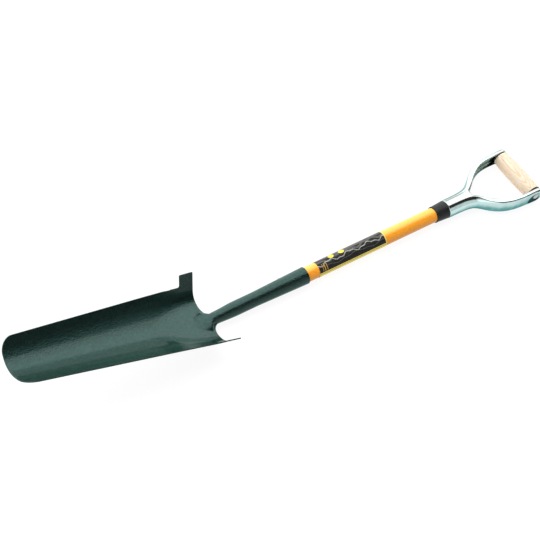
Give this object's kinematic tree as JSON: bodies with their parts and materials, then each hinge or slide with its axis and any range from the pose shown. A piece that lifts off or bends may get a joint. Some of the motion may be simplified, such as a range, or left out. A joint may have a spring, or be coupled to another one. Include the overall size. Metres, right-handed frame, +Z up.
{
  "type": "newcastle shovel",
  "caption": "Long narrow trough-shaped drain digging shovel with treads, closed socket, glass-fibre shaft and a steel Y handle with a wooden grip.",
  "frame": {"origin": "middle of the bounding box in X and Y, at its lowest point", "axes": "+X along the shaft from the blade to the handle, +Y to the left tread, +Z up out of the blade's trough"},
  "size_m": [1.1558, 0.1722, 0.1718],
  "materials": {
    "green_paint": "dark green hammered paint over forged steel",
    "yellow_glass_fibre": "smooth orange-yellow glass fibre",
    "printed_label": "dark printed film",
    "black_plastic": "black moulded plastic",
    "bright_zinc": "pressed steel, bright zinc plated",
    "bare_ash": "pale turned wood, sanded",
    "softwood": "plain dowel",
    "rivet_steel": "plain steel"
  },
  "bodies": {
    "root": {"blade": "green_paint", "shaft_tube": "yellow_glass_fibre", "shaft_label": "printed_label", "handle_collar": "black_plastic", "yoke": "bright_zinc", "grip": "bare_ash", "grip_rod": "rivet_steel", "socket_dowel": "softwood", "handle_dowel": "softwood", "socket_rivet": "rivet_steel", "yoke_rivet": "rivet_steel"}
  },
  "joints": []
}
